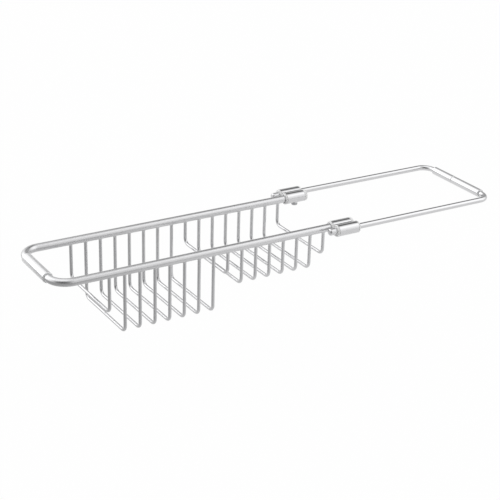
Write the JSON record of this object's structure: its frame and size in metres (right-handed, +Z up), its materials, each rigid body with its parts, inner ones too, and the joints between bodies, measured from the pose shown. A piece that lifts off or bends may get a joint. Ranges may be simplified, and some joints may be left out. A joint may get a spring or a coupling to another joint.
{
  "type": "over-the-sink caddy",
  "caption": "Wire caddy that spans a sink: a bent tube frame carries a deep basket and a shallower one, and a thinner bent rod slides out of clamps on its rails to reach the far rim.",
  "frame": {"origin": "where the left sleeve rests on the left rim of the sink: the lowest line of the sleeve, midway between the rails", "axes": "+X from the left rim to the right rim, along the rails and the rods; +Y from the front rail to the back rail; +Z up, out of the baskets"},
  "size_m": [0.6392, 0.1534, 0.0898],
  "materials": {
    "satin_steel": "satin",
    "polished_metal": "polished",
    "clear_vinyl": "clear gloss",
    "white_nylon": "smooth"
  },
  "bodies": {
    "basket_frame": {"frame_tube": "satin_steel", "left_sleeve": "clear_vinyl", "guard_wire_left": "satin_steel", "deep_wire_1": "satin_steel", "deep_wire_2": "satin_steel", "deep_wire_3": "satin_steel", "deep_wire_4": "satin_steel", "deep_wire_5": "satin_steel", "deep_wire_6": "satin_steel", "deep_wire_7": "satin_steel", "guard_wire_step": "satin_steel", "shallow_wire_1": "satin_steel", "shallow_wire_2": "satin_steel", "shallow_wire_3": "satin_steel", "shallow_wire_4": "satin_steel", "shallow_wire_5": "satin_steel", "shallow_wire_6": "satin_steel", "guard_wire_right": "satin_steel", "connector_body_front": "polished_metal", "connector_body_back": "polished_metal", "rail_bush_front": "white_nylon", "rail_bush_back": "white_nylon", "barrel_plug_front": "white_nylon", "barrel_plug_back": "white_nylon", "rod_bush_left_front": "white_nylon", "rod_bush_left_back": "white_nylon", "rod_bush_right_front": "white_nylon", "rod_bush_right_back": "white_nylon", "rail_screw_front": "polished_metal", "rail_screw_back": "polished_metal"},
    "rod_frame": {"rod_tube": "polished_metal", "rod_cap_front": "polished_metal", "rod_cap_back": "polished_metal", "right_sleeve_front": "clear_vinyl", "right_sleeve_back": "clear_vinyl"}
  },
  "joints": [
    {"name": "rod_frame_slide", "type": "slide", "parent": "basket_frame", "child": "rod_frame", "axis": [1, 0, 0], "range_m": [-0.198, 0]}
  ]
}
